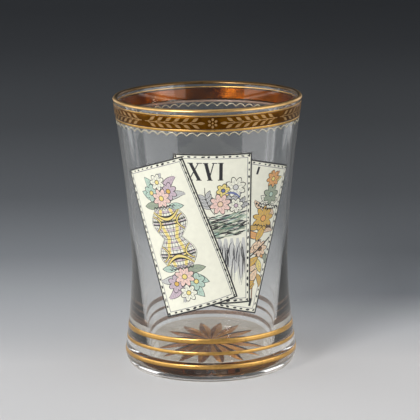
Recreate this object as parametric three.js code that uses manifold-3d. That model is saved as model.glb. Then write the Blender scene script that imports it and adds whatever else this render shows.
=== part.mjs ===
// A waisted glass beaker that stands on its base. It has a gilded lip, a gold band with a leaf
// garland, three gold rings round the foot, a gilded star under the base, and three overlapping
// enamelled playing cards on the front. Millimetres, +Z up, the cards face -Y.
import * as THREE from "three";
import { TessellateModifier } from "three/addons/modifiers/TessellateModifier.js";
import { mergeVertices } from "three/addons/utils/BufferGeometryUtils.js";
import Module from "manifold-3d";

const wasm = await Module();
wasm.setup();

// Glass body: the outer wall narrows to a waist and flares to the rim and to the foot
const GLASS_HEIGHT = 113.4;
const RIM_RADIUS = 38.9;
const RIM_FLARE = 1.5;
const WAIST_RADIUS = 32.5;
const WAIST_HEIGHT = 46;
const FOOT_RADIUS = 35.8;
const FOOT_HEIGHT = 7;
const FOOT_FLARE = 1.8;
const CONTACT_RADIUS = 31.5;

// Inside of the glass and its underside
const LIP_WALL = 1.7;
const MIDDLE_WALL = 1.4;
const FLOOR_WALL = 8.4;
const WALL_START = 60;
const WALL_GROWTH = 1.75;
const BASE_THICKNESS = 6.8;
const FLOOR_CROWN = 1.5;
const CORNER_RADIUS = 0.6;
const RECESS_RADIUS = 26;
const RECESS_DEPTH = 0.6;

// Fired layers of gold and enamel, each with a small clearance to what lies under it
const LAYER = 0.15;
const LAYER_GAP = 0.15;

// Gold at the rim, measured down from the top of the glass
const LIP_GOLD_DEPTH = 1.1;
const CLEAR_BELOW_LIP = 1.2;
const UPPER_LINE_HEIGHT = 0.5;
const BAND_HEIGHT = 5.1;
const LOWER_LINE_HEIGHT = 0.9;
const LINE_GAP = 0.1;
const SCALLOP_COUNT = 56;
const SCALLOP_RISE = 0.9;
const SCALLOP_LINE = 0.45;
const SCALLOP_CLEAR = 0.25;

// Garland on the band: rosettes with a leaf spray on each side
const GARLAND_REPEATS = 4;
const GARLAND_TURN = THREE.MathUtils.degToRad(3);
const PETAL_COUNT = 6;
const PETAL_LENGTH = 1.8;
const PETAL_WIDTH = 1;
const ROSETTE_EYE_RADIUS = 0.6;
const SPRAY_CLEAR = 3;
const STEM_WIDTH = 0.35;
const LEAF_LENGTH = 4.2;
const LEAF_WIDTH = 1.3;
const LEAF_PITCH = 4.3;
const LEAF_SPREAD = THREE.MathUtils.degToRad(24);

// Foot rings: the height of each one's middle above the table, and its width
const FOOT_RINGS = {
  foot_ring_upper: { middle: 17.7, width: 2.1 },
  foot_ring_middle: { middle: 12.7, width: 1.3 },
  foot_ring_lower: { middle: 7.2, width: 1.8 },
};

// Star under the base
const STAR_RAYS = 16;
const STAR_RADIUS = 23.1;
const STAR_RAY_WIDTH = 4.5;
const STAR_HUB_RADIUS = 3;

// Playing cards in the clear field between the band and the foot rings
const CARD_MARGIN = 10.9;
const CARD_CLEAR = 0.2;
const EDGING_WIDTH = 0.4;
const LEFT_CARD_WIDTH = 30.2;
const MIDDLE_CARD_WIDTH = 32.6;
const RIGHT_CARD_WIDTH = 31;
const LEFT_CARD_RISE = -0.2;
const MIDDLE_CARD_RISE = 3.3;
const RIGHT_CARD_RISE = 0;

// Ornaments on the cards: flowers and leaves on stalks, a vase, and a Roman number
const FLOWER_RADIUS = 3.2;
const FLOWER_PETALS = 6;
const FLOWER_EYE_RADIUS = 1.1;
const STALK_COUNT = 3;
const STALK_LENGTH = 10;
const STALK_SPREAD = THREE.MathUtils.degToRad(42);
const STALK_WIDTH = 0.9;
const BOUQUET_LEAF_LENGTH = 7;
const BOUQUET_LEAF_WIDTH = 2.6;
const VASE_WIDTH = 8.2;
const VASE_NECK = 5.5;
const VASE_HEIGHT = 10;
const NUMBER = "XVI";
const NUMBER_HEIGHT = 7;
const LETTER_WIDTH = 3.5;
const LETTER_SPACE = 2.4;
const NUMBER_THICK = 1.2;
const NUMBER_THIN = 0.5;
const NUMBER_RULE = 0.4;

// How far the number and the flowering stems are set in from the edges of their card, and how far
// the middle of each stem lies above the card's middle
const NUMBER_SIDE_INSET = 6.3;
const NUMBER_TOP_INSET = 3.6;
const MIDDLE_STEM = { side: 7.3, rise: 4, length: 20 };
const RIGHT_STEM = { side: 5.5, rise: 7, length: 30 };

// Fineness of the faceted surfaces
const SEGMENTS = 60;
const WALL_STEPS = 10;
const ARC_STEPS = 4;
const CURVE_STEPS = 2;
const STAR_CURVE_STEPS = 4;
const DISC_SIDES = 8;
const SCALLOP_STEPS = 3;
const FLOOR_STEPS = 3;
const LONGEST_EDGE = 3.5;
const EDGE_HALVINGS = 12;
const MERGE_DISTANCE = 1e-4;

const LIP_RADIUS = LIP_WALL / 2;
const LIP_CENTRE = GLASS_HEIGHT - LIP_RADIUS;
const OVERLAY_LIFT = 2 * LAYER_GAP + LAYER;
const CUTTER_THICKNESS = 2 * OVERLAY_LIFT + LAYER;
const UPPER_LINE_TOP = GLASS_HEIGHT - LIP_GOLD_DEPTH - CLEAR_BELOW_LIP;
const BAND_TOP = UPPER_LINE_TOP - UPPER_LINE_HEIGHT - LINE_GAP;
const BAND_BOTTOM = BAND_TOP - BAND_HEIGHT;
const BAND_MIDDLE = (BAND_TOP + BAND_BOTTOM) / 2;
const LOWER_LINE_TOP = BAND_BOTTOM - LINE_GAP;
const SCALLOP_TOP = LOWER_LINE_TOP - LOWER_LINE_HEIGHT - SCALLOP_CLEAR;
const FIELD_TOP = SCALLOP_TOP - SCALLOP_RISE - SCALLOP_LINE;
const FIELD_BOTTOM = FOOT_RINGS.foot_ring_upper.middle + FOOT_RINGS.foot_ring_upper.width / 2;
const FIELD_MIDDLE = (FIELD_TOP + FIELD_BOTTOM) / 2;
const CARD_HEIGHT = FIELD_TOP - FIELD_BOTTOM - 2 * CARD_MARGIN;
const NUMBER_CORNER = {
  x: NUMBER_SIDE_INSET - MIDDLE_CARD_WIDTH / 2,
  y: CARD_HEIGHT / 2 - NUMBER_TOP_INSET - NUMBER_HEIGHT,
};

// The cards from the one on top, with the height of each middle and its angle round the beaker,
// then how many degrees its long sides lean and its short sides slope
const CARDS = [
  {
    name: "card_left",
    width: LEFT_CARD_WIDTH,
    middle: FIELD_MIDDLE + LEFT_CARD_RISE,
    turn: -23.2,
    lean: 18.9,
    slope: 17.2,
  },
  {
    name: "card_middle",
    width: MIDDLE_CARD_WIDTH,
    middle: FIELD_MIDDLE + MIDDLE_CARD_RISE,
    turn: 1.9,
    lean: -1.3,
    slope: -0.8,
  },
  {
    name: "card_right",
    width: RIGHT_CARD_WIDTH,
    middle: FIELD_MIDDLE + RIGHT_CARD_RISE,
    turn: 24.3,
    lean: -18.6,
    slope: -14.1,
  },
];

const finish = (color, roughness, metalness) =>
  new THREE.MeshStandardMaterial({ color, roughness, metalness });
const GLASS = new THREE.MeshStandardMaterial({
  color: 0xe9eef0,
  roughness: 0.03,
  metalness: 0,
  transparent: true,
  opacity: 0.35,
});
const BRIGHT_GOLD = finish(0xd9aa5c, 0.25, 1);
const DARK_GOLD = finish(0x6b4c10, 0.35, 1);
const PALE_GOLD = finish(0xe0bd84, 0.4, 1);
const STAR_GOLD = finish(0xa06a2c, 0.35, 1);
const CREAM_ENAMEL = finish(0xebe8d8, 0.4, 0);
const BLACK_ENAMEL = finish(0x17161a, 0.4, 0);
const GREEN_ENAMEL = finish(0x86b79a, 0.4, 0);
const ROSE_ENAMEL = finish(0xdd9f93, 0.4, 0);
const OCHRE_ENAMEL = finish(0xd39b3a, 0.4, 0);

// Radius of the outer wall at a height
function outerRadius(height) {
  if (height > WAIST_HEIGHT) {
    const rise = (height - WAIST_HEIGHT) / (LIP_CENTRE - WAIST_HEIGHT);
    return WAIST_RADIUS + (RIM_RADIUS - WAIST_RADIUS) * rise ** RIM_FLARE;
  }
  if (height > FOOT_HEIGHT) {
    const drop = (WAIST_HEIGHT - height) / (WAIST_HEIGHT - FOOT_HEIGHT);
    return WAIST_RADIUS + (FOOT_RADIUS - WAIST_RADIUS) * drop ** FOOT_FLARE;
  }
  const under = (FOOT_HEIGHT - height) / FOOT_HEIGHT;
  return CONTACT_RADIUS + (FOOT_RADIUS - CONTACT_RADIUS) * Math.sqrt(1 - under * under);
}

// Thickness of the wall at a height: thin from the middle up, ever thicker down to the floor
function wallThickness(height) {
  if (height > WALL_START) {
    const rise = (height - WALL_START) / (LIP_CENTRE - WALL_START);
    return THREE.MathUtils.lerp(MIDDLE_WALL, LIP_WALL, rise);
  }
  const drop = (WALL_START - height) / (WALL_START - BASE_THICKNESS);
  return THREE.MathUtils.lerp(MIDDLE_WALL, FLOOR_WALL, drop ** WALL_GROWTH);
}

// Radius of the cavity
function innerRadius(height) {
  return outerRadius(height) - wallThickness(height);
}

// Evenly spaced numbers from one value to another, both included
function steps(from, to, count) {
  return Array.from({ length: count + 1 }, (_, i) => from + ((to - from) * i) / count);
}

// The line over the rounded lip, at an offset from the glass, from outside to inside
function lipArc(offset) {
  const centre = RIM_RADIUS - LIP_RADIUS;
  return steps(0, Math.PI, ARC_STEPS).map(
    (angle) =>
      new THREE.Vector2(
        centre + (LIP_RADIUS + offset) * Math.cos(angle),
        LIP_CENTRE + (LIP_RADIUS + offset) * Math.sin(angle),
      ),
  );
}

// A profile of radius and height turned round the beaker's axis
function turned(profile) {
  return new THREE.LatheGeometry(profile, SEGMENTS).rotateX(Math.PI / 2);
}

function glassBody() {
  const cornerTop = BASE_THICKNESS + CORNER_RADIUS;
  const flatRadius = innerRadius(cornerTop) - CORNER_RADIUS;
  const profile = [
    new THREE.Vector2(0, RECESS_DEPTH),
    new THREE.Vector2(RECESS_RADIUS - RECESS_DEPTH, RECESS_DEPTH),
    new THREE.Vector2(RECESS_RADIUS, 0),
  ];
  for (const angle of steps(Math.PI / 2, 0, ARC_STEPS)) {
    const height = FOOT_HEIGHT * (1 - Math.sin(angle));
    profile.push(new THREE.Vector2(outerRadius(height), height));
  }
  for (const height of steps(FOOT_HEIGHT, LIP_CENTRE, WALL_STEPS).slice(1, -1)) {
    profile.push(new THREE.Vector2(outerRadius(height), height));
  }
  profile.push(...lipArc(0));
  for (const height of steps(LIP_CENTRE, cornerTop, WALL_STEPS).slice(1, -1)) {
    profile.push(new THREE.Vector2(innerRadius(height), height));
  }
  for (const angle of steps(0, Math.PI / 2, ARC_STEPS)) {
    const across = flatRadius + CORNER_RADIUS * Math.cos(angle);
    profile.push(new THREE.Vector2(across, cornerTop - CORNER_RADIUS * Math.sin(angle)));
  }
  for (const share of steps(1, 0, FLOOR_STEPS).slice(1)) {
    const height = BASE_THICKNESS + FLOOR_CROWN * (1 - share * share);
    profile.push(new THREE.Vector2(flatRadius * share, height));
  }
  return turned(profile);
}

function lipGilding() {
  const skirt = GLASS_HEIGHT - LIP_GOLD_DEPTH;
  const over = (offset) => [
    new THREE.Vector2(outerRadius(skirt) + offset, skirt),
    ...lipArc(offset),
    new THREE.Vector2(innerRadius(skirt) - offset, skirt),
  ];
  const profile = [...over(LAYER_GAP + LAYER), ...over(LAYER_GAP).reverse()];
  return turned([...profile, profile[0]]);
}

// A thin ring that follows the outer wall between two heights
function wallRing(bottom, top) {
  const side = (offset) =>
    [bottom, top].map((height) => new THREE.Vector2(outerRadius(height) + offset, height));
  const profile = [...side(LAYER_GAP + LAYER), ...side(LAYER_GAP).reverse()];
  return turned([...profile, profile[0]]);
}

// A closed loop of thin strip, from pairs of points on its lower and upper edge, flat or bent
function loop(pairs) {
  const place = [];
  const faces = [];
  pairs.forEach(([low, high], i) => {
    for (const [x, y] of [low, high]) {
      place.push(x, y, LAYER, x, y, 0);
    }
    for (const [a, b] of [[0, 2], [2, 3], [3, 1], [1, 0]]) {
      const here = 4 * i;
      const next = 4 * ((i + 1) % pairs.length);
      faces.push(here + a, next + a, here + b, here + b, next + a, next + b);
    }
  });
  return new THREE.BufferGeometry()
    .setAttribute("position", new THREE.Float32BufferAttribute(place, 3))
    .setIndex(faces);
}

// A thin line round the wall that rises in a row of arches
function scallopRing() {
  const columns = SCALLOP_COUNT * SCALLOP_STEPS;
  const pairs = steps(0, columns, columns)
    .slice(1)
    .map((column) => {
      const arch = Math.sin((Math.PI * (column % SCALLOP_STEPS)) / SCALLOP_STEPS);
      const top = SCALLOP_TOP - SCALLOP_RISE * (1 - arch);
      return [top - SCALLOP_LINE, top].map((height) => [
        (2 * Math.PI * column * outerRadius(height)) / columns,
        height,
      ]);
    });
  return onWall(loop(pairs), 0, LAYER_GAP);
}

// The line along a card's edge, with stations no further apart than the longest edge
function edging(width, height) {
  const pairs = [];
  const inset = 1 - (2 * EDGING_WIDTH) / width;
  const sink = 1 - (2 * EDGING_WIDTH) / height;
  const corners = [[1, -1], [1, 1], [-1, 1], [-1, -1]];
  corners.forEach(([x, y], i) => {
    const [nextX, nextY] = corners[(i + 1) % corners.length];
    const length = Math.hypot(((nextX - x) * width) / 2, ((nextY - y) * height) / 2);
    const count = Math.ceil(length / LONGEST_EDGE);
    for (const share of steps(0, 1, count).slice(0, -1)) {
      const across = (THREE.MathUtils.lerp(x, nextX, share) * width) / 2;
      const up = (THREE.MathUtils.lerp(y, nextY, share) * height) / 2;
      pairs.push([[across, up], [across * inset, up * sink]]);
    }
  });
  return loop(pairs);
}

// Between closed geometry and solids that can be joined and cut
function solidOf(geometry) {
  const bare = geometry.index ? geometry.toNonIndexed() : geometry.clone();
  bare.deleteAttribute("normal");
  bare.deleteAttribute("uv");
  const merged = mergeVertices(bare, MERGE_DISTANCE);
  return new wasm.Manifold(
    new wasm.Mesh({
      numProp: 3,
      vertProperties: merged.getAttribute("position").array,
      triVerts: new Uint32Array(merged.index.array),
    }),
  );
}

function geometryOf(solid) {
  const mesh = solid.getMesh();
  return new THREE.BufferGeometry()
    .setAttribute("position", new THREE.BufferAttribute(mesh.vertProperties, 3))
    .setIndex(new THREE.BufferAttribute(mesh.triVerts, 1));
}

const joined = (geometries) =>
  geometryOf(geometries.map(solidOf).reduce((sum, solid) => sum.add(solid)));
const cutBy = (geometry, cutters) =>
  geometryOf(cutters.map(solidOf).reduce((rest, cutter) => rest.subtract(cutter), solidOf(geometry)));

// Flat pieces, drawn with x across, y up and z out of the wall
function plate(shape, curveSegments = CURVE_STEPS) {
  return new THREE.ExtrudeGeometry(shape, { depth: LAYER, bevelEnabled: false, curveSegments });
}

function slab(width, height, thickness = LAYER) {
  const across = Math.ceil(width / LONGEST_EDGE);
  const up = Math.ceil(height / LONGEST_EDGE);
  return new THREE.BoxGeometry(width, height, thickness, across, up).translate(0, 0, thickness / 2);
}

// A pointed oval from the origin along x
function leaf(length, width, curveSteps) {
  const shape = new THREE.Shape()
    .quadraticCurveTo(length / 2, width, length, 0)
    .quadraticCurveTo(length / 2, -width, 0, 0);
  return plate(shape, curveSteps);
}

function disc(radius) {
  return new THREE.CylinderGeometry(radius, radius, LAYER, DISC_SIDES)
    .rotateX(Math.PI / 2)
    .translate(0, 0, LAYER / 2);
}

// Joins flat pieces, and splits edges that are too long to bend round the wall
function motif(pieces) {
  return new TessellateModifier(LONGEST_EDGE, EDGE_HALVINGS).modify(joined(pieces));
}

// Leaves round the origin, evenly spread over an angle from a first direction
function fan(count, length, width, first, spread, curveSteps) {
  return Array.from({ length: count }, (_, i) =>
    leaf(length, width, curveSteps).rotateZ(first + spread * i),
  );
}

function flower(count, radius, petalWidth, eyeRadius) {
  return [
    disc(eyeRadius),
    ...fan(count, radius, petalWidth, Math.PI / 2, (2 * Math.PI) / count),
  ];
}

// Lays a flat piece on the wall, where its x = 0 falls at an angle round the beaker
function onWall(geometry, turn, lift) {
  const place = geometry.getAttribute("position");
  for (let i = 0; i < place.count; i++) {
    const height = place.getY(i);
    const wall = outerRadius(height);
    const angle = turn + place.getX(i) / wall;
    const reach = wall + lift + place.getZ(i);
    place.setXYZ(i, reach * Math.sin(angle), -reach * Math.cos(angle), height);
  }
  return geometry;
}

// A spray of paired leaves that starts at x = 0 and points along x to the rosette
function spray() {
  const length = (Math.PI / GARLAND_REPEATS) * outerRadius(BAND_MIDDLE) - SPRAY_CLEAR;
  const pairs = Math.floor((length - LEAF_LENGTH) / LEAF_PITCH);
  const pieces = [leaf(LEAF_LENGTH, LEAF_WIDTH).translate(length - LEAF_LENGTH, 0, 0)];
  const stemStart = LEAF_PITCH / 4;
  const stemEnd = length - LEAF_LENGTH / 2;
  const stem = slab(stemEnd - stemStart, STEM_WIDTH).translate((stemStart + stemEnd) / 2, 0, 0);
  pieces.push(stem);
  for (let i = 0; i < pairs; i++) {
    const root = length - LEAF_LENGTH - (i + 0.5) * LEAF_PITCH;
    for (const side of [-1, 1]) {
      pieces.push(leaf(LEAF_LENGTH, LEAF_WIDTH).rotateZ(side * LEAF_SPREAD).translate(root, 0, 0));
    }
  }
  return motif(pieces);
}

function baseStar() {
  const pitch = (2 * Math.PI) / STAR_RAYS;
  const rays = fan(STAR_RAYS, STAR_RADIUS, STAR_RAY_WIDTH, pitch / 2, pitch, STAR_CURVE_STEPS);
  const height = RECESS_DEPTH - LAYER_GAP - LAYER;
  return joined([disc(STAR_HUB_RADIUS), ...rays]).translate(0, 0, height);
}

// One stalk that rises from the origin to a flower
function stalk(length) {
  return [
    slab(STALK_WIDTH, length).translate(0, length / 2, 0),
    ...flower(FLOWER_PETALS, FLOWER_RADIUS, FLOWER_RADIUS, FLOWER_EYE_RADIUS).map((piece) =>
      piece.translate(0, length, 0),
    ),
  ];
}

// Stalks that spread from the origin, with leaves beside and between them
function bouquet() {
  const first = (-STALK_SPREAD * (STALK_COUNT - 1)) / 2;
  const stalks = steps(0, STALK_COUNT - 1, STALK_COUNT - 1).flatMap((i) =>
    stalk(STALK_LENGTH).map((piece) => piece.rotateZ(first + STALK_SPREAD * i)),
  );
  const lowest = Math.PI / 2 + first - STALK_SPREAD / 2;
  return [
    ...stalks,
    ...fan(STALK_COUNT + 1, BOUQUET_LEAF_LENGTH, BOUQUET_LEAF_WIDTH, lowest, STALK_SPREAD),
  ];
}

// A bouquet over a vase that stands on the origin
function vaseOfFlowers() {
  const neck = VASE_NECK / 2;
  const bulge = VASE_WIDTH - neck;
  const vase = new THREE.Shape()
    .moveTo(-neck, 0)
    .lineTo(neck, 0)
    .quadraticCurveTo(bulge, VASE_HEIGHT / 2, neck, VASE_HEIGHT)
    .lineTo(-neck, VASE_HEIGHT)
    .quadraticCurveTo(-bulge, VASE_HEIGHT / 2, -neck, 0);
  return [plate(vase), ...bouquet().map((piece) => piece.translate(0, VASE_HEIGHT, 0))];
}

// A flowering stem that starts at the origin, with leaves at even steps up it
function floweringStem(length) {
  const heights = steps(0, length, Math.floor(length / BOUQUET_LEAF_LENGTH)).slice(1, -1);
  const leaves = heights.flatMap((height) =>
    fan(2, BOUQUET_LEAF_LENGTH, BOUQUET_LEAF_WIDTH, Math.PI / 4, Math.PI / 2).map((piece) =>
      piece.translate(0, height, 0),
    ),
  );
  return [...stalk(length), ...leaves];
}

// A plain Roman number between two rules, its lower left corner at the origin
function romanNumber(letters) {
  const stroke = (foot, head, width) =>
    plate(
      new THREE.Shape()
        .moveTo(foot, 0)
        .lineTo(foot + width, 0)
        .lineTo(head + width, NUMBER_HEIGHT)
        .lineTo(head, NUMBER_HEIGHT),
    );
  const wide = LETTER_WIDTH;
  const strokes = {
    X: { width: wide, lines: [[wide, 0, NUMBER_THICK], [0, wide, NUMBER_THIN]] },
    V: { width: wide, lines: [[wide / 2, 0, NUMBER_THICK], [wide / 2, wide, NUMBER_THIN]] },
    I: { width: 0, lines: [[0, 0, NUMBER_THICK]] },
  };
  const pieces = [];
  let start = 0;
  for (const letter of letters) {
    const { width, lines } = strokes[letter];
    pieces.push(...lines.map(([foot, head, thick]) => stroke(start + foot, start + head, thick)));
    start += width + LETTER_SPACE;
  }
  const rule = start - LETTER_SPACE + NUMBER_THICK;
  for (const height of [0, NUMBER_HEIGHT]) {
    pieces.push(slab(rule, NUMBER_RULE).translate(rule / 2, height, 0));
  }
  return pieces;
}

const moved = (pieces, { x, y }) => pieces.map((piece) => piece.translate(x, y, 0));

// Two vases of flowers foot to foot, one upside down, which overlap enough to be one piece
function doubleVase() {
  const upright = moved(vaseOfFlowers(), { x: 0, y: -LAYER });
  const hanging = moved(vaseOfFlowers(), { x: 0, y: -LAYER }).map((piece) => piece.rotateZ(Math.PI));
  return [...upright, ...hanging];
}

// A flowering stem set in from a card's right side
function stemOnCard(width, { side, rise, length }) {
  return moved(floweringStem(length), { x: width / 2 - side, y: rise - length / 2 });
}

// What each card carries
const cardOrnaments = {
  card_left: () => ({ ornament: doubleVase() }),
  card_middle: () => ({
    number: moved(romanNumber(NUMBER), NUMBER_CORNER),
    ornament: stemOnCard(MIDDLE_CARD_WIDTH, MIDDLE_STEM),
  }),
  card_right: () => ({ ornament: stemOnCard(RIGHT_CARD_WIDTH, RIGHT_STEM) }),
};

const ORNAMENT_MATERIALS = {
  card_left: GREEN_ENAMEL,
  card_middle: ROSE_ENAMEL,
  card_right: OCHRE_ENAMEL,
};

const beaker = new THREE.Group();

function add(name, geometry, material) {
  const mesh = new THREE.Mesh(geometry, material);
  mesh.name = name;
  beaker.add(mesh);
}

function addRimGold() {
  add("lip_gilding", lipGilding(), BRIGHT_GOLD);
  add("band_upper_line", wallRing(UPPER_LINE_TOP - UPPER_LINE_HEIGHT, UPPER_LINE_TOP), BRIGHT_GOLD);
  add("band_ground", wallRing(BAND_BOTTOM, BAND_TOP), DARK_GOLD);
  add("band_lower_line", wallRing(LOWER_LINE_TOP - LOWER_LINE_HEIGHT, LOWER_LINE_TOP), BRIGHT_GOLD);
  add("band_scallops", scallopRing(), PALE_GOLD);
}

function addGarland() {
  const quarter = (2 * Math.PI) / GARLAND_REPEATS;
  for (let i = 0; i < GARLAND_REPEATS; i++) {
    const turn = GARLAND_TURN + quarter * i;
    const petals = flower(PETAL_COUNT, PETAL_LENGTH, PETAL_WIDTH, ROSETTE_EYE_RADIUS);
    const rosette = motif(petals).translate(0, BAND_MIDDLE, 0);
    add(`garland_rosette_${i + 1}`, onWall(rosette, turn, OVERLAY_LIFT), PALE_GOLD);
    const meeting = turn + quarter / 2;
    const leftward = spray().rotateZ(Math.PI).translate(0, BAND_MIDDLE, 0);
    const rightward = spray().translate(0, BAND_MIDDLE, 0);
    add(`garland_spray_${2 * i + 1}`, onWall(leftward, meeting, OVERLAY_LIFT), PALE_GOLD);
    add(`garland_spray_${2 * i + 2}`, onWall(rightward, meeting, OVERLAY_LIFT), PALE_GOLD);
  }
}

function addFootGold() {
  for (const [name, { middle, width }] of Object.entries(FOOT_RINGS)) {
    add(name, wallRing(middle - width / 2, middle + width / 2), BRIGHT_GOLD);
  }
  add("base_star", baseStar(), STAR_GOLD);
}

// Leans a flat piece of a card and lays it on the wall
function onCard({ turn, middle, lean, slope }, geometry, lift) {
  const side = THREE.MathUtils.degToRad(lean);
  const end = THREE.MathUtils.degToRad(slope);
  const leaning = new THREE.Matrix4().set(
    Math.cos(end), -Math.sin(side), 0, 0,
    Math.sin(end), Math.cos(side), 0, middle,
    0, 0, 1, 0,
    0, 0, 0, 1,
  );
  return onWall(geometry.applyMatrix4(leaning), THREE.MathUtils.degToRad(turn), lift);
}

// Each card is cut where the cards above it lie, with a clearance all round them
function addCards() {
  const cutters = [];
  for (const card of CARDS) {
    const { name, width } = card;
    const place = (geometry, lift) => onCard(card, geometry, lift);
    add(name, cutBy(place(slab(width, CARD_HEIGHT), LAYER_GAP), cutters), CREAM_ENAMEL);
    add(`${name}_edging`, cutBy(place(edging(width, CARD_HEIGHT), OVERLAY_LIFT), cutters), BLACK_ENAMEL);
    for (const [kind, pieces] of Object.entries(cardOrnaments[name]())) {
      const material = kind === "number" ? BLACK_ENAMEL : ORNAMENT_MATERIALS[name];
      add(`${name}_${kind}`, cutBy(place(motif(pieces), OVERLAY_LIFT), cutters), material);
    }
    const cover = slab(width + 2 * CARD_CLEAR, CARD_HEIGHT + 2 * CARD_CLEAR, CUTTER_THICKNESS);
    cutters.push(place(cover, 0));
  }
}

add("glass_body", glassBody(), GLASS);
addRimGold();
addGarland();
addFootGold();
addCards();

export default beaker;
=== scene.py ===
"""A gilded glass beaker with enamelled playing cards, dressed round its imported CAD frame."""
import random
from math import ceil, cos, degrees, dist, hypot, pi, radians, sin, sqrt

import bmesh
import bpy
from mathutils import Matrix, Vector
from mathutils.geometry import delaunay_2d_cdt


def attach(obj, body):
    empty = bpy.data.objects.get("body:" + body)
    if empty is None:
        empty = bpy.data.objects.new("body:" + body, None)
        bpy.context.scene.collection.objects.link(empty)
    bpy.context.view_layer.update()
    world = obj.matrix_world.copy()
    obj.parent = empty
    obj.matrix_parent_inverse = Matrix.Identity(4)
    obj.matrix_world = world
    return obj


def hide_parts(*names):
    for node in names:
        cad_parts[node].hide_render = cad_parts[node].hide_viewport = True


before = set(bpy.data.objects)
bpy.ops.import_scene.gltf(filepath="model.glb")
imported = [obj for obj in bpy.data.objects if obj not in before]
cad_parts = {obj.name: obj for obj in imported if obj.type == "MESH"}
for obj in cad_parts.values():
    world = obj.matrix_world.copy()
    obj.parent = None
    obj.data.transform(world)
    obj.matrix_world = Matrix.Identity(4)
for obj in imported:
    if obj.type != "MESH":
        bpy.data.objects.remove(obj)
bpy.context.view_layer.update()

MM = 0.001
random.seed(16)

# Photograph's camera, in pixels, millimetres and degrees
IMAGE_WIDTH = 420
SENSOR_WIDTH = 36
FOCAL_PIXELS = 2211
CAMERA_ACROSS = 0.44
CAMERA_DISTANCE = 900
CAMERA_HEIGHT = 254.9
CAMERA_PITCH = 11.92
CAMERA_ROLL = 0.84

# Glass, as in the CAD part
GLASS_HEIGHT = 113.4
RIM_RADIUS = 38.9
RIM_FLARE = 1.5
WAIST_RADIUS = 32.5
WAIST_HEIGHT = 46
FOOT_RADIUS = 35.8
FOOT_HEIGHT = 7
FOOT_FLARE = 1.8
CONTACT_RADIUS = 31.5
LIP_WALL = 1.7
MIDDLE_WALL = 1.4
FLOOR_WALL = 8.4
WALL_START = 60
WALL_GROWTH = 1.75
BASE_THICKNESS = 6.8
FLOOR_CROWN = 1.5
CORNER_RADIUS = 0.6
HOLLOW_RADIUS = 30.5
HOLLOW_DEPTH = 0.6
HOLLOW_STEPS = 12
GLASS_SEGMENTS = 256
SHARP_ANGLE = 20
WALL_STEPS = 90
ARC_STEPS = 16

# Gold and enamel: how deep a layer is bonded into the glass and how far it stands proud
BOND = 0.02
GILDING = 0.08
OVERLAY = 0.16
# Mesh of a layer: its longest edge, how near two points count as one, and which triangles to make
LONGEST_EDGE = 0.8
SAME_POINT = 1e-6
ONLY_INSIDE = 1

# Clear glass: index, share of light that a faint haze leaves, and a warm sheen at the edges
GLASS_INDEX = 1.5
GLASS_CLARITY = 0.993
GLASS_SHEEN = 0.25
SHEEN_ROUGHNESS = 0.35
SHEEN_TINT = (1, 0.94, 0.84, 1)
# How much lamp light passes below and above two heights
CLARITY_HEIGHTS = (6, 20)
FOOT_CLARITY = (0.96, 0.96, 0.96)
WALL_CLARITY = (0.68, 0.68, 0.68)
# How edge-on a star ray is seen, and how its roughness falls over that range
STAR_GLANCE = (0.3, 0.55)
STAR_ROUGHNESS = (0.5, 0.03)
# Between which values most of a noise lies
NOISE_MIDDLE = (0.3, 0.7)

# Gilding below the lip, from the top down
LIP_GOLD_DEPTH = 1.1
CLEAR_BELOW_LIP = 1.2
UPPER_LINE_HEIGHT = 0.5
BAND_HEIGHT = 5.1
LOWER_LINE_HEIGHT = 0.9
LINE_GAP = 0.1
SCALLOP_COUNT = 56
SCALLOP_RISE = 1.25
SCALLOP_LINE = 0.4
SCALLOP_CLEAR = 0.25
SCALLOP_STEPS = 8

# Garland on the band: rosettes, and sprays of leaves between them
GARLAND_REPEATS = 4
GARLAND_TURN = 3
PETAL_COUNT = 6
PETAL_RADIUS = 0.6
PETAL_SQUASH = 0.8
PETAL_RING = 1.5
ROSETTE_EYE = 0.35
SPRAY_CLEAR = 3
STEM_WIDTH = 0.28
LEAF_LENGTH = 4.4
LEAF_WIDTH = 1.05
LEAF_TAIL = 0.34
LEAF_PITCH = 3.7
LEAF_SPREAD = 29

# Middle height and width of each ring round the foot
FOOT_RINGS = {
    "foot_ring_upper": (17.7, 2.1),
    "foot_ring_middle": (12.7, 1.3),
    "foot_ring_lower": (7.2, 1.8),
}

# Star under the base
STAR_RAYS = 16
STAR_RADIUS = 23.1
STAR_RAY_WIDTH = 4.9
STAR_RIDGE = 1.2
STAR_STEPS = 8

# Cards, in the order of painting from the lowest: size, place, lean and how far each lies proud
CARD_HEIGHT = 62.25
FIELD_MIDDLE = 60.78
CARD_GROUND = 0.06
CARD_STEP = 0.17
SHAPE_STEP = 0.004
CARDS = {
    "card_right": dict(width=31, rise=0, turn=24.3, lean=-18.6, slope=-14.1, order=0),
    "card_middle": dict(width=32.6, rise=3.3, turn=1.9, lean=-1.3, slope=-0.8, order=1),
    "card_left": dict(width=30.2, rise=-0.2, turn=-23.2, lean=18.9, slope=17.2, order=2),
}
EDGE_LINE = 0.6
BORDER_WIDTH = 1.75
BORDER_LINE = 0.26
DASH_PITCH = 2.8
DASH_LENGTH = 1.5
DASH_WIDTH = 0.78
DASH_STRETCH = (0.6, 1.2)
DASH_SWELL = (0.7, 1.2)
DASH_SHIFT = (-0.3, 0.3)
INK_EDGE = 0.27
VEIN = 0.09
BARB = 0.1
RUFF_LINE = 0.45

# Painted flowers and plumes, as shares of a flower's radius or a plume's length
FLOWER_PETAL = 0.4
FLOWER_RING = 0.6
FLOWER_EYE = 0.24
FLOWER_VEIN = (0.35, 0.75)
PLUME_BOW = 0.16
PLUME_WIDTH = 0.4
PLUME_BARB = 0.15

# Vase painted on the left card, with flowers at both ends
VASE_LEFT = -1.6
VASE_TURN = -4
VASE_HALF_HEIGHT = 12.6
VASE_NECK = 4.3
VASE_BELLY = 3.5
VASE_ROUNDNESS = 1.2
VASE_FLARE = 0.6

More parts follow.
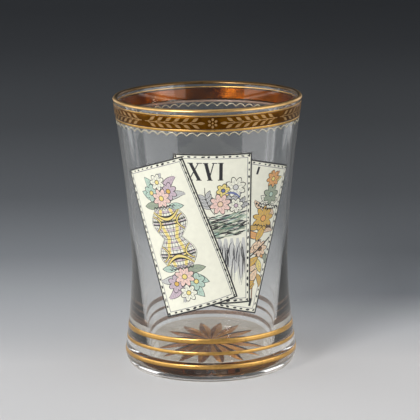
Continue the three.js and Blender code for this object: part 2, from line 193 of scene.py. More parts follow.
# Bank and reeds painted on the middle card
BANK_STROKES = 24
BANK_ROW = 1.15
BANK_REACH = 1.9
BANK_JITTER = (-0.4, 0.4)
BANK_CLIMB = (0.3, 1.4)
BANK_BEND = (-0.4, 0.5)
BANK_INK = (0.25, 0.6)
BANK_COLOURS = ["grey", "mint", "green", "black", "sage", "black"]
REED_BLADES = 20
REED_START = (-3, 0)
REED_LENGTH = (0.35, 1)
REED_LEAN = (-1.8, 1.2)
REED_BEND = (-1, 1)
REED_INK = (0.2, 0.5)
REED_COLOURS = ["pale_grey", "grey", "pale_grey", "black"]

# Studio floor, which curves up behind the beaker, in millimetres
FLOOR_FRONT = -1600
FLOOR_BACK = 1300
FLOOR_HALF_WIDTH = 2400
FLOOR_DROP = 0.05
SWEEP_CURVE = 500
SWEEP_TOP = 2200
# Greys of the floor's left and right by distance behind the beaker, and where one turns to the other.
# They paint the light's fall-off towards the back, and on the right painted shade with part of the
# beaker's shadow from the key lamp on the left
FLOOR_START = -500
FLOOR_TONES = {
    -420: (0.05, 0.05),
    -320: (0.61, 0.64),
    0: (0.59, 0.65),
    50: (0.48, 0.48),
    110: (0.38, 0.2),
    200: (0.215, 0.12),
    350: (0.11, 0.075),
    600: (0.064, 0.052),
    1270: (0.06, 0.05),
}
LEFT_FLOOR_EDGE = -40
RIGHT_FLOOR_EDGE = 90
PALEST_FLOOR = 0.6
PALE_BLUE = 0.98
ADDED_BLUE = 0.22
# How bright glass and metal show the floor, and the painted shadow, darker and warmer, where the
# beaker stands on it
FLOOR_GLOW = 0.95
PAINTED_SHADOW_TONE = (0.72, 0.65, 0.54)
PAINTED_SHADOW_REACH = 50

# Lamps in metres and watts. Azimuth 0 is towards the camera and grows to the right.
LAMP_TARGET = (0, 0, 0.06)
# Azimuth, elevation, distance, size and power
SOFTBOXES = {
    "key_softbox": (-33, 28, 1.1, (0.3, 0.3), 8.5),
    "fill_panel": (48, 20, 1.2, (0.8, 0.5), 1.6),
}
# Place, target, size and power
OVERHEAD_SOFTBOX = ((0, 0.1, 1.3), (0, 0, 0), (0.8, 0.8), 1.5)
# Azimuth, distance, size and power
STANDING_PANELS = {
    "left_panel": (-80, 0.8, (0.9, 0.6), 2.6),
    "right_panel": (74, 0.8, (0.9, 0.6), 2.9),
    "left_rear_panel": (-143, 0.9, (0.3, 0.5), 0.6),
    "right_rear_panel": (143, 0.9, (0.3, 0.5), 0.6),
    "left_strip": (-98, 0.3, (0.03, 0.5), 0.05),
    "left_rear_strip": (-112, 0.34, (0.03, 0.5), 0.07),
    "right_rear_strip": (128, 0.34, (0.04, 0.5), 0.06),
}
PANEL_RISE = 0.01
# Room light, which grows towards one direction
ROOM_BRIGHTEST = (0, 0.28, 0.95)
ROOM_TONES = [(0, (0.14, 0.147, 0.16)), (0.6, (0.29, 0.3, 0.33))]

LIP_CENTRE = GLASS_HEIGHT - LIP_WALL / 2
UPPER_LINE_TOP = GLASS_HEIGHT - LIP_GOLD_DEPTH - CLEAR_BELOW_LIP
BAND_TOP = UPPER_LINE_TOP - UPPER_LINE_HEIGHT - LINE_GAP
BAND_BOTTOM = BAND_TOP - BAND_HEIGHT
BAND_MIDDLE = (BAND_TOP + BAND_BOTTOM) / 2
LOWER_LINE_TOP = BAND_BOTTOM - LINE_GAP
SCALLOP_TOP = LOWER_LINE_TOP - LOWER_LINE_HEIGHT - SCALLOP_CLEAR


def steps(start, end, count):
    return [start + (end - start) * i / count for i in range(count + 1)]


def outer_radius(height):
    if height > WAIST_HEIGHT:
        rise = (height - WAIST_HEIGHT) / (LIP_CENTRE - WAIST_HEIGHT)
        return WAIST_RADIUS + (RIM_RADIUS - WAIST_RADIUS) * rise**RIM_FLARE
    if height > FOOT_HEIGHT:
        drop = (WAIST_HEIGHT - height) / (WAIST_HEIGHT - FOOT_HEIGHT)
        return WAIST_RADIUS + (FOOT_RADIUS - WAIST_RADIUS) * drop**FOOT_FLARE
    under = (FOOT_HEIGHT - height) / FOOT_HEIGHT
    return CONTACT_RADIUS + (FOOT_RADIUS - CONTACT_RADIUS) * sqrt(1 - under * under)


def wall_thickness(height):
    if height > WALL_START:
        rise = (height - WALL_START) / (LIP_CENTRE - WALL_START)
        return MIDDLE_WALL + (LIP_WALL - MIDDLE_WALL) * rise
    drop = (WALL_START - height) / (WALL_START - BASE_THICKNESS)
    return MIDDLE_WALL + (FLOOR_WALL - MIDDLE_WALL) * drop**WALL_GROWTH


def inner_radius(height):
    return outer_radius(height) - wall_thickness(height)


def underside(radius):
    """Height of the slightly hollow underside, which stands on its rim."""
    return HOLLOW_DEPTH * (1 - (radius / HOLLOW_RADIUS) ** 2)


# Materials
class Shading:
    """The nodes of a material, or of the room."""

    def __init__(self, owner, main="Principled BSDF"):
        owner.use_nodes = True
        self.nodes = owner.node_tree.nodes
        self.links = owner.node_tree.links
        self.main = self.nodes[main]

    def add(self, kind, inputs, **settings):
        """A new node, with its settings and inputs."""
        node = self.nodes.new("ShaderNode" + kind)
        for name, value in settings.items():
            setattr(node, name, value)
        self.give(node, inputs)
        return node

    def give(self, node, inputs):
        """Sets a node's inputs to plain values, or links them to other nodes' outputs."""
        for name, value in inputs.items():
            if isinstance(value, bpy.types.NodeSocket):
                self.links.new(value, node.inputs[name])
            else:
                node.inputs[name].default_value = value

    def place(self, kind="Object"):
        return self.add("TexCoord", {}).outputs[kind]

    def noise(self, scale, detail=4, roughness=0.5):
        """Noise in object coordinates, so that it stays with the piece."""
        inputs = {"Vector": self.place(), "Scale": scale, "Detail": detail, "Roughness": roughness}
        return self.add("TexNoise", inputs).outputs["Fac"]

    def ramp(self, source, stops):
        node = self.add("ValToRGB", {"Fac": source})
        elements = node.color_ramp.elements
        while len(elements) < len(stops):
            elements.new(0.5)
        for element, (at, colour) in zip(elements, stops):
            element.position = at
            element.color = (*colour, 1)
        return node.outputs["Color"]

    def map_range(self, source, start, end, low=0, high=1):
        """Maps a value between two limits to a range, and holds it at the ends."""
        limits = {"From Min": start, "From Max": end, "To Min": low, "To Max": high}
        return self.add("MapRange", {"Value": source, **limits}).outputs["Result"]

    def spread(self, noise, low, high):
        """Maps the middle of a noise to a range."""
        return self.map_range(noise, *NOISE_MIDDLE, low, high)

    def mix(self, blend, share, first, second):
        inputs = {"Factor": share, "A": first, "B": second}
        return self.add("Mix", inputs, data_type="RGBA", blend_type=blend).outputs["Result"]

    def bump(self, source, distance):
        node = self.add("Bump", {"Height": source, "Distance": distance, "Strength": 1})
        self.give(self.main, {"Normal": node.outputs["Normal"]})

    def show_other(self, share, other):
        """Makes the material show another shader by a share."""
        either = self.add("MixShader", {"Fac": share, 1: self.main.outputs["BSDF"], 2: other})
        self.give(self.nodes["Material Output"], {"Surface": either.outputs["Shader"]})


def glass_material():
    """Polished glass with faint waves, wiped streaks and a trace of haze."""
    material = bpy.data.materials.new("clear_glass")
    shading = Shading(material)
    waves = shading.noise(45, detail=2)
    shading.give(shading.main, {
        "Transmission Weight": GLASS_CLARITY,
        "IOR": GLASS_INDEX,
        "Sheen Weight": GLASS_SHEEN,
        "Sheen Roughness": SHEEN_ROUGHNESS,
        "Sheen Tint": SHEEN_TINT,
        "Base Color": shading.ramp(waves, [(0.3, (0.97, 0.98, 0.98)), (0.7, (1, 1, 1))]),
        "Roughness": shading.spread(shading.noise(400, detail=5), 0, 0.02),
    })
    shading.bump(waves, 0.02 * MM)
    let_light_through(shading)
    return material


def let_light_through(shading):
    """Lets lamps shine through the glass instead of casting a full shadow: the walls dim them most."""
    split = shading.add("SeparateXYZ", {"Vector": shading.place()})
    low, high = (height * MM for height in CLARITY_HEIGHTS)
    rise = shading.map_range(split.outputs["Z"], low, high)
    share = shading.ramp(rise, [(0, FOOT_CLARITY), (1, WALL_CLARITY)])
    clear = shading.add("BsdfTransparent", {"Color": share})
    path = shading.add("LightPath", {})
    shading.show_other(path.outputs["Is Shadow Ray"], clear.outputs["BSDF"])


def gold_material(name, dark, light, roughness, metallic=1.0, scale=900, relief=0.004):
    """Burnished gilding with brush marks, small pits and a worn tone."""
    material = bpy.data.materials.new(name)
    shading = Shading(material)
    brush = shading.noise(scale, detail=5, roughness=0.6)
    shading.give(shading.main, {
        "Metallic": metallic,
        "Base Color": shading.ramp(brush, [(0.32, dark), (0.68, light)]),
        "Roughness": shading.spread(brush, roughness * 0.9, roughness * 1.15),
    })
    shading.bump(brush, relief * MM)
    return material


def enamel_material(name, colour, variation=0.04, roughness=0.35):
    """Fired enamel: uneven thickness of colour, a soft gloss and a pitted skin."""
    material = bpy.data.materials.new(name)
    shading = Shading(material)
    wash = shading.noise(420, roughness=0.6)
    dark = tuple(c * (1 - variation) for c in colour)
    light = tuple(min(1, c * (1 + variation)) for c in colour)
    shading.give(shading.main, {
        "Coat Weight": 0.15,
        "Coat Roughness": 0.2,
        "Base Color": shading.ramp(wash, [(0.3, dark), (0.7, light)]),
        "Roughness": shading.spread(wash, roughness * 0.8, roughness * 1.2),
    })
    shading.bump(shading.noise(1800, detail=3), 0.012 * MM)
    return material


def star_material(name, dark, light):
    """Gilding seen through the glass: satin from above, a mirror where it is seen edge-on."""
    material = gold_material(name, dark, light, STAR_ROUGHNESS[0], 1, 300, 0.001)
    shading = Shading(material)
    edge = shading.add("LayerWeight", {})
    rough = shading.map_range(edge.outputs["Facing"], *STAR_GLANCE, *STAR_ROUGHNESS)
    shading.give(shading.main, {"Roughness": rough})
    return material


GLASS = glass_material()
BRIGHT_GOLD = gold_material("bright_gold", (0.62, 0.35, 0.095), (0.8, 0.47, 0.145), 0.3)
LIP_GOLD = gold_material("lip_gold", (0.6, 0.36, 0.13), (0.78, 0.5, 0.2), 0.34, 1, 900, 0.001)
LIP_SHADE = gold_material("lip_shade", (0.13, 0.075, 0.03), (0.2, 0.12, 0.05), 0.3)
DARK_GOLD = gold_material("dark_gold", (0.095, 0.032, 0.001), (0.2, 0.078, 0.004), 0.34, 0.95, 300)
PALE_GOLD = gold_material("pale_gold", (0.48, 0.29, 0.12), (0.62, 0.4, 0.18), 0.4)
FINE_GOLD = gold_material("fine_gold", (0.66, 0.57, 0.38), (0.78, 0.7, 0.5), 0.4)
BAND_BACK = gold_material("band_back", (0.06, 0.009, 0.0002), (0.28, 0.075, 0.003), 0.22, 1, 130, 0.05)
RING_BACK = gold_material("ring_back", (0.2, 0.12, 0.08), (0.32, 0.22, 0.16), 0.45, 0.3)
STAR_GOLD = star_material("star_gold", (0.4, 0.16, 0.025), (0.6, 0.28, 0.06))
# A darker copy of the star gold: painted shade on one side of each ray
STAR_SHADE = star_material("star_shade", (0.17, 0.05, 0.006), (0.32, 0.12, 0.02))

ENAMELS = {
    "cream": (0.755, 0.745, 0.62),
    "black": (0.018, 0.018, 0.021),
    "grey": (0.2, 0.2, 0.21),
    "pale_grey": (0.52, 0.52, 0.5),
    "mint": (0.42, 0.55, 0.46),
    "green": (0.1, 0.19, 0.14),
    "sage": (0.3, 0.35, 0.25),
    "yellow": (0.74, 0.6, 0.2),
    "ochre": (0.62, 0.39, 0.09),
    "orange": (0.72, 0.36, 0.12),
    "mauve": (0.52, 0.41, 0.46),
    "pink": (0.76, 0.54, 0.47),
    "peach": (0.76, 0.56, 0.38),
    "blue": (0.14, 0.17, 0.34),
    "brown": (0.2, 0.11, 0.05),
}
PAINTS = {name: enamel_material(f"enamel_{name}", colour) for name, colour in ENAMELS.items()}


# Meshes
def add_object(name, data):
    """Puts a mesh, a lamp or a camera into the scene."""
    item = bpy.data.objects.new(name, data)
    bpy.context.scene.collection.objects.link(item)
    return item


def finish_piece(name, verts, faces, materials, kinds, nodes, smooth=True):
    """Makes one piece in metres from millimetres, which stands for CAD nodes and rides on the root."""
    mesh = bpy.data.meshes.new(name)
    mesh.from_pydata([Vector(v) * MM for v in verts], [], faces)
    for material in materials:
        mesh.materials.append(material)
    for polygon, kind in zip(mesh.polygons, kinds):
        polygon.material_index = kind
        polygon.use_smooth = smooth
    work = bmesh.new()
    work.from_mesh(mesh)
    bmesh.ops.recalc_face_normals(work, faces=work.faces)
    work.to_mesh(mesh)
    work.free()
    piece = add_object(name, mesh)
    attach(piece, "root")
    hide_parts(*nodes)
    return piece


def lathe(profile, segments, closed):
    """Turns a profile of radius and height, and tells which span of it each face comes from."""
    verts = []
    rows = []
    for radius, height in profile:
        if radius == 0:
            rows.append([len(verts)] * segments)
            verts.append((0, 0, height))
            continue
        rows.append(list(range(len(verts), len(verts) + segments)))
        for i in range(segments):
            angle = 2 * pi * i / segments
            verts.append((radius * sin(angle), -radius * cos(angle), height))
    faces = []
    spans = []
    count = len(rows) if closed else len(rows) - 1
    for span in range(count):
        low = rows[span]
        high = rows[(span + 1) % len(rows)]
        for i in range(segments):
            j = (i + 1) % segments
            corners = [low[i], low[j], high[j], high[i]]
            face = [c for k, c in enumerate(corners) if c not in corners[:k]]
            faces.append(face)
            spans.append(span)
    return verts, faces, spans


def glass_profile():
    profile = [(r, underside(r)) for r in steps(0, HOLLOW_RADIUS, HOLLOW_STEPS)]
    for angle in steps(pi / 2, 0, ARC_STEPS):
        height = FOOT_HEIGHT * (1 - sin(angle))
        profile.append((outer_radius(height), height))
    for height in steps(FOOT_HEIGHT, LIP_CENTRE, WALL_STEPS)[1:-1]:
        profile.append((outer_radius(height), height))
    for angle in steps(0, pi, ARC_STEPS):
        across = RIM_RADIUS - LIP_WALL / 2 + LIP_WALL / 2 * cos(angle)
        profile.append((across, LIP_CENTRE + LIP_WALL / 2 * sin(angle)))
    corner_top = BASE_THICKNESS + CORNER_RADIUS
    flat = inner_radius(corner_top) - CORNER_RADIUS
    for height in steps(LIP_CENTRE, corner_top, WALL_STEPS)[1:-1]:
        profile.append((inner_radius(height), height))
    for angle in steps(0, pi / 2, ARC_STEPS):
        height = corner_top - CORNER_RADIUS * sin(angle)
        profile.append((flat + CORNER_RADIUS * cos(angle), height))
    for share in steps(1, 0, ARC_STEPS)[1:]:
        profile.append((flat * share, BASE_THICKNESS + FLOOR_CROWN * (1 - share * share)))
    return profile


def make_glass():
    verts, faces, _ = lathe(glass_profile(), GLASS_SEGMENTS, False)
    glass = finish_piece("beaker_glass", verts, faces, [GLASS], [0] * len(faces), ["glass_body"])
    glass.data.set_sharp_from_angle(angle=radians(SHARP_ANGLE))


def make_ring(name, node, bottom, top, front, back, count=3):
    """A gilded ring on the wall. Its face against the glass has the tone seen through the glass."""
    heights = steps(bottom, top, count)
    outside = [(outer_radius(h) + GILDING, h) for h in heights]
    inside = [(outer_radius(h) - BOND, h) for h in reversed(heights)]
    verts, faces, spans = lathe(outside + inside, GLASS_SEGMENTS, True)
    first_back = len(outside)
    kinds = [1 if first_back <= s < first_back + count else 0 for s in spans]
    finish_piece(name, verts, faces, [front, back], kinds, [node])


def make_lip():
    """Gold over the lip: bright outside, shaded inside and darkest against the glass."""
    skirt = GLASS_HEIGHT - LIP_GOLD_DEPTH

    def over(offset):
        centre = RIM_RADIUS - LIP_WALL / 2
        reach = LIP_WALL / 2 + offset
        arc = [
            (centre + reach * cos(a), LIP_CENTRE + reach * sin(a))
            for a in steps(0, pi, ARC_STEPS)
        ]
        return [(outer_radius(skirt) + offset, skirt), *arc, (inner_radius(skirt) - offset, skirt)]

    outside = over(GILDING)
    profile = outside + over(-BOND)[::-1]
    verts, faces, spans = lathe(profile, GLASS_SEGMENTS, True)
    crest = 1 + ARC_STEPS // 2
    kinds = [2 if s >= len(outside) else 1 if s > crest else 0 for s in spans]
    finish_piece("lip_gold", verts, faces, [LIP_GOLD, LIP_SHADE, BAND_BACK], kinds, ["lip_gilding"])


def box_of(outline):
    xs = [p[0] for p in outline]
    ys = [p[1] for p in outline]
    return (min(xs), min(ys), max(xs), max(ys))


def grid_points(outline, pitch):
    """Points on a square grid inside an outline's box."""
    left, bottom, right, top = box_of(outline)
    points = []
    y = bottom + pitch / 2
    while y < top:
        x = left + pitch / 2
        while x < right:
            points.append((x, y))
            x += pitch
        y += pitch
    return points


def divided(outline, pitch):
    """An outline with its long sides split."""
    points = []
    for i, a in enumerate(outline):
        b = outline[(i + 1) % len(outline)]
        count = max(1, ceil(dist(a, b) / pitch))
        for step in range(count):
            points.append(tuple(a[k] + (b[k] - a[k]) * step / count for k in (0, 1)))
    return points


class Layer:
    """Closed thin shapes bent onto the wall, gathered into one piece."""

    def __init__(self, place, hidden=lambda point: False):
        self.place = place
        self.hidden = hidden
        self.verts = []
        self.faces = []
        self.kinds = []
        self.materials = []

    def shape(self, outline, low, high, material):
        """Adds one shape that reaches from a low to a high level over the wall."""
        edge = divided(outline, LONGEST_EDGE)
        inside = [p for p in grid_points(edge, LONGEST_EDGE) if within(p, edge, LONGEST_EDGE / 3)]
        loop = [(i, (i + 1) % len(edge)) for i in range(len(edge))]
        points = [Vector(p) for p in edge + inside]
        flat, _, tris, *_ = delaunay_2d_cdt(points, loop, [], ONLY_INSIDE, SAME_POINT)
        flat = [tuple(p) for p in flat]
        tris = [t for t in tris if not self.hidden([sum(flat[i][k] for i in t) / 3 for k in (0, 1)])]
        if not tris:
            return
        faces = self.prism(flat, tris, low, high)
        if material not in self.materials:
            self.materials.append(material)
        self.faces += faces
        self.kinds += [self.materials.index(material)] * len(faces)

    def prism(self, flat, tris, low, high):
        """Adds the points of a closed shape and gives its faces: top, underside and borders."""
        used = sorted({i for t in tris for i in t})
        top = len(self.verts)
        under = top + len(used)
        index = {old: new for new, old in enumerate(used)}
        self.verts += [self.place(flat[i], high) for i in used]
        self.verts += [self.place(flat[i], low) for i in used]
        faces = []
        borders = {}
        for t in tris:
            a, b, c = (index[i] for i in t)
            faces.append((top + a, top + b, top + c))
            faces.append((under + c, under + b, under + a))
            for first, second in ((a, b), (b, c), (c, a)):
                if not borders.pop((second, first), False):
                    borders[first, second] = True
        return faces + [(top + a, under + a, under + b, top + b) for a, b in borders]

    def finish(self, name, nodes, slot):
        finish_piece(name, self.verts, self.faces, self.materials, self.kinds, nodes, False)


def within(point, outline, margin):
    """True for a point inside an outline and not too near its edge."""
    x, y = point
    inside = False
    for i, (ax, ay) in enumerate(outline):
        bx, by = outline[(i + 1) % len(outline)]
        if (ay > y) != (by > y) and x < (bx - ax) * (y - ay) / (by - ay) + ax:
            inside = not inside
        if hypot(ax - x, ay - y) < margin:
            return False
    return inside


# Flat outlines, in millimetres
def moved(outline, x=0, y=0, angle=0):
    c, s = cos(angle), sin(angle)
    return [(x + c * px - s * py, y + s * px + c * py) for px, py in outline]


def polar(x, y, angle, reach):
    return (x + reach * cos(angle), y + reach * sin(angle))


def leaf(length, width, count=7):
    """A pointed oval from the origin along x."""
    side = [(length * t, 2 * width * t * (1 - t)) for t in steps(0, 1, count)]
    return side + [(x, -y) for x, y in side[-2:0:-1]]


def tailed_leaf(length, width, count=12):
    """A pointed oval on a thin tail that starts at the origin."""
    side = []
    for t in steps(0, 1, count):
        blade = max(0, (t - LEAF_TAIL) / (1 - LEAF_TAIL))
        half = width / 2 * sin(pi * blade**0.85) + STEM_WIDTH / 2 * (1 - t)
        side.append((length * t, half))
    return side + [(x, -y) for x, y in side[-2::-1]]


def disc(radius, count=14, squash=1):
    turns = [2 * pi * i / count for i in range(count)]
    return [(radius * cos(t), radius * squash * sin(t)) for t in turns]


def bar(x0, y0, x1, y1, width):
    """A straight stroke between two points."""
    length = hypot(x1 - x0, y1 - y0)
    nx, ny = (y0 - y1) / length * width / 2, (x1 - x0) / length * width / 2
    return [(x0 + nx, y0 + ny), (x1 + nx, y1 + ny), (x1 - nx, y1 - ny), (x0 - nx, y0 - ny)][::-1]


def stroke(points, width, taper=0.3):
    """A brush line through points, thin at both ends."""
    left, right = [], []
    last = len(points) - 1
    for i, (x, y) in enumerate(points):
        ax, ay = points[max(0, i - 1)]
        bx, by = points[min(last, i + 1)]
        length = hypot(bx - ax, by - ay) or 1
        half = width / 2 * (taper + (1 - taper) * sin(pi * i / last))
        nx, ny = (ay - by) / length * half, (bx - ax) / length * half
        left.append((x + nx, y + ny))
        right.append((x - nx, y - ny))
    return right + left[::-1]


def arc_points(x0, y0, x1, y1, bend, count=8):
    """Points on a bow between two ends, which stands out sideways by bend."""
    length = hypot(x1 - x0, y1 - y0)
    nx, ny = (y0 - y1) / length, (x1 - x0) / length
    points = []
    for t in steps(0, 1, count):
        out = 4 * bend * t * (1 - t)
        points.append((x0 + (x1 - x0) * t + nx * out, y0 + (y1 - y0) * t + ny * out))
    return points


def on_wall(turn):
    """A map from flat points to a reach beyond the wall, with x = 0 at an angle round the beaker."""

    def place(point, reach):
        wall = outer_radius(point[1])
        angle = radians(turn) + point[0] / wall
        radius = wall + reach
        return (radius * sin(angle), -radius * cos(angle), point[1])

    return place


# Gilding
def make_band():
    make_ring("band_line_above", "band_upper_line", UPPER_LINE_TOP - UPPER_LINE_HEIGHT,
              UPPER_LINE_TOP, BRIGHT_GOLD, BRIGHT_GOLD)
    make_ring("band_gold_ground", "band_ground", BAND_BOTTOM, BAND_TOP, DARK_GOLD, BAND_BACK,
              8)
    make_ring("band_line_below", "band_lower_line", LOWER_LINE_TOP - LOWER_LINE_HEIGHT,
              LOWER_LINE_TOP, BRIGHT_GOLD, RING_BACK)
    make_scallops()
    quarter = 360 / GARLAND_REPEATS
    for i in range(GARLAND_REPEATS):
        turn = GARLAND_TURN + quarter * i
        make_rosette(i + 1, turn)
        make_spray(2 * i + 1, turn + quarter / 2, pi)
        make_spray(2 * i + 2, turn + quarter / 2, 0)


def make_scallops():
    """A fine line that swings in arches round the wall."""
    columns = SCALLOP_COUNT * SCALLOP_STEPS
    verts = []
    for column in range(columns):
        share = (column % SCALLOP_STEPS) / SCALLOP_STEPS
        top = SCALLOP_TOP - SCALLOP_RISE * (1 - sin(pi * share))
        angle = 2 * pi * column / columns
        for height, reach in (
            (top - SCALLOP_LINE, -BOND),
            (top - SCALLOP_LINE, GILDING),
            (top, GILDING),
            (top, -BOND),
        ):
            radius = outer_radius(height) + reach
            verts.append((radius * sin(angle), -radius * cos(angle), height))
    faces = []
    for column in range(columns):
        here, there = 4 * column, 4 * ((column + 1) % columns)
        for corner in range(4):
            other = (corner + 1) % 4
            faces.append([here + corner, there + corner, there + other, here + other])
    finish_piece("band_scallop_line", verts, faces, [FINE_GOLD], [0] * len(faces),
                 ["band_scallops"])


def make_rosette(number, turn):
    layer = Layer(on_wall(turn))
    for i in range(PETAL_COUNT):
        angle = pi / 2 + 2 * pi * i / PETAL_COUNT
        petal = disc(PETAL_RADIUS, squash=PETAL_SQUASH)
        petal = moved(petal, *polar(0, BAND_MIDDLE, angle, PETAL_RING), angle)
        layer.shape(petal, GILDING / 2, OVERLAY, PALE_GOLD)
    layer.shape(moved(disc(ROSETTE_EYE), 0, BAND_MIDDLE), GILDING / 2, OVERLAY, LIP_GOLD)
    layer.finish(f"rosette_{number}", [f"garland_rosette_{number}"], "pale_gold")


def make_spray(number, turn, facing):
    layer = Layer(on_wall(turn))
    length = pi / GARLAND_REPEATS * outer_radius(BAND_MIDDLE) - SPRAY_CLEAR
    pairs = int((length - LEAF_LENGTH) // LEAF_PITCH)

    def lay(outline, high=OVERLAY):
        placed = moved(outline, 0, BAND_MIDDLE, facing)
        layer.shape(placed, GILDING / 2, high, PALE_GOLD)

    lay(moved(tailed_leaf(LEAF_LENGTH, LEAF_WIDTH), length - LEAF_LENGTH))
    stem_start, stem_end = LEAF_PITCH / 4, length - LEAF_LENGTH / 2
    lay(bar(stem_start, 0, stem_end, 0, STEM_WIDTH), OVERLAY - BOND)
    for i in range(pairs):
        root = length - LEAF_LENGTH - (i + 0.5) * LEAF_PITCH
        for side in (-1, 1):
            angle = side * radians(LEAF_SPREAD)
            lay(moved(tailed_leaf(LEAF_LENGTH, LEAF_WIDTH), root, 0, angle))
    layer.finish(f"leaf_spray_{number}", [f"garland_spray_{number}"], "pale_gold")


def make_star():
    """Cut rays that rise to a ridge inside the base, gilded from below, one side of each in a darker
    gold as painted shade.
    """
    verts = []
    faces = []
    kinds = []

    def add_ray(angle):
        start = len(verts)
        turn = Matrix.Rotation(angle, 3, "Z")
        for t in steps(0, 1, STAR_STEPS):
            across = 2 * STAR_RAY_WIDTH * t * (1 - t)
            along = STAR_RADIUS * t
            edge = underside(hypot(along, across)) + BOND
            crest = underside(along) + BOND + STAR_RIDGE * 4 * t * (1 - t)
            for point in (
                (along, -across, edge), (along, 0, crest), (along, across, edge),
                (along, -across, edge - GILDING), (along, across, edge - GILDING),
            ):
                verts.append(tuple(turn @ Vector(point)))
        for i in range(STAR_STEPS):
            a, b = start + 5 * i, start + 5 * (i + 1)
            for first, second, kind in ((0, 1, 0), (1, 2, 1), (2, 4, 1), (4, 3, 0), (3, 0, 0)):
                faces.append([a + first, b + first, b + second, a + second])
                kinds.append(kind)

    pitch = 2 * pi / STAR_RAYS
    for i in range(STAR_RAYS):
        add_ray(pitch * (i + 0.5))
    finish_piece("cut_star", verts, faces, [STAR_GOLD, STAR_SHADE], kinds, ["base_star"],
                 False)


# Cards
def card_place(card):
    """Two maps for points of a card: onto the wall, and to the leaning card laid out flat."""
    side = radians(card["lean"])
    end = radians(card["slope"])
    wall = on_wall(card["turn"])

    def flat(point):
        x = point[0] * cos(end) - point[1] * sin(side)
        y = point[0] * sin(end) + point[1] * cos(side)
        return (x, y + FIELD_MIDDLE + card["rise"])

    return lambda point, reach: wall(flat(point), reach), flat


def covered(card, uppers):
    """A test for points of a card that lie well under a card above it."""
    _, flat = card_place(card)

    def test(point):
        x, y = flat(point)
        turn = card["turn"] + degrees(x / outer_radius(y))
        for upper in uppers:
            back = radians(turn - upper["turn"]) * outer_radius(y)
            side, end = radians(upper["lean"]), radians(upper["slope"])
            up = y - FIELD_MIDDLE - upper["rise"]
            det = cos(end) * cos(side) + sin(side) * sin(end)
            u = (back * cos(side) + up * sin(side)) / det
            v = (up * cos(end) - back * sin(end)) / det
            if abs(u) < upper["width"] / 2 - LONGEST_EDGE and abs(v) < CARD_HEIGHT / 2 - LONGEST_EDGE:
                return True
        return False

    return test


def rim_frame(card, inset, width):
    """Four strips just inside a card's edge."""
    w, h = card["width"] / 2 - inset, CARD_HEIGHT / 2 - inset
    half = width / 2
    return [
        bar(-w, -h + half, w, -h + half, width),
        bar(-w, h - half, w, h - half, width),
        bar(-w + half, -h + width, -w + half, h - width, width),
        bar(w - half, -h + width, w - half, h - width, width),
    ]


def boxes_meet(a, b):
    return a[0] < b[2] and b[0] < a[2] and a[1] < b[3] and b[1] < a[3]


class CardPainter:
    """Paints one card in coats, each a little prouder than what it covers: ground and border first."""

    def __init__(self, name):
        self.name = name
        self.card = CARDS[name]
        self.place, _ = card_place(self.card)
        uppers = [c for c in CARDS.values() if c["order"] > self.card["order"]]
        self.hidden = covered(self.card, uppers)
        self.base = CARD_GROUND + CARD_STEP * self.card["order"]
        self.pose = (0, 0, 0)
        self.painted = []
        self.start_piece()
        self.ground()
        self.edging()

    def start_piece(self):
        self.ink = Layer(self.place, self.hidden)

    def ground(self):
        w, h = self.card["width"] / 2, CARD_HEIGHT / 2
        self.ink.shape([(-w, -h), (w, -h), (w, h), (-w, h)], -BOND, self.base, PAINTS["cream"])
        self.finish("ground", [self.name], "cream_enamel")

    def edging(self):
        self.coat(rim_frame(self.card, 0, EDGE_LINE), "black")
        self.coat(rim_frame(self.card, BORDER_WIDTH, BORDER_LINE), "grey")
        self.coat(self.dashes(), "black")
        self.finish("border", [f"{self.name}_edging"], "black_enamel")

    def dashes(self):
        w = self.card["width"] / 2 - (BORDER_WIDTH + EDGE_LINE) / 2
        h = CARD_HEIGHT / 2 - (BORDER_WIDTH + EDGE_LINE) / 2
        marks = []
        for half, other, upright in ((w, h, False), (h, w, True)):
            count = round(2 * half / DASH_PITCH)
            for i in range(count + 1):
                at = -half + 2 * half * i / count + random.uniform(*DASH_SHIFT)
                for side in (-other, other):
                    long = DASH_LENGTH * random.uniform(*DASH_STRETCH)
                    wide = DASH_WIDTH * random.uniform(*DASH_SWELL)
                    x, y = (side, at) if upright else (at, side)
                    angle = (pi / 2 if upright else 0) + random.uniform(*DASH_SHIFT)
                    marks.append(moved(disc(long / 2, 8, wide / long), x, y, angle))
        return marks

    def coat(self, outlines, colour):
        """Shapes of one colour at one level, just over the highest that they cover."""
        placed = [moved(outline, *self.pose) for outline in outlines]
        boxes = [box_of(outline) for outline in placed]
        below = [level for box, level in self.painted if any(boxes_meet(box, b) for b in boxes)]
        level = 1 + max(below, default=0)
        self.painted += [(box, level) for box in boxes]
        for outline in placed:
            self.ink.shape(outline, self.base - BOND, self.base + SHAPE_STEP * level, PAINTS[colour])

    def paint(self, outline, colour):
        self.coat([outline], colour)

    def outlined(self, outlines, colour, line=INK_EDGE):
        """Filled shapes with an ink edge."""
        self.coat([swollen(outline, line) for outline in outlines], "black")
        self.coat(outlines, colour)

    def finish(self, part, nodes, slot):
        self.ink.finish(f"{self.name}_{part}", nodes, slot)
        self.start_piece()


def swollen(outline, line):
    """The outline grown by the width of a line, from its middle."""
    cx = sum(p[0] for p in outline) / len(outline)
    cy = sum(p[1] for p in outline) / len(outline)
    low_x, low_y, high_x, high_y = box_of(outline)
    reach = (high_x - low_x + high_y - low_y) / 4
    grow = 1 + line / reach
    return [(cx + (px - cx) * grow, cy + (py - cy) * grow) for px, py in outline]


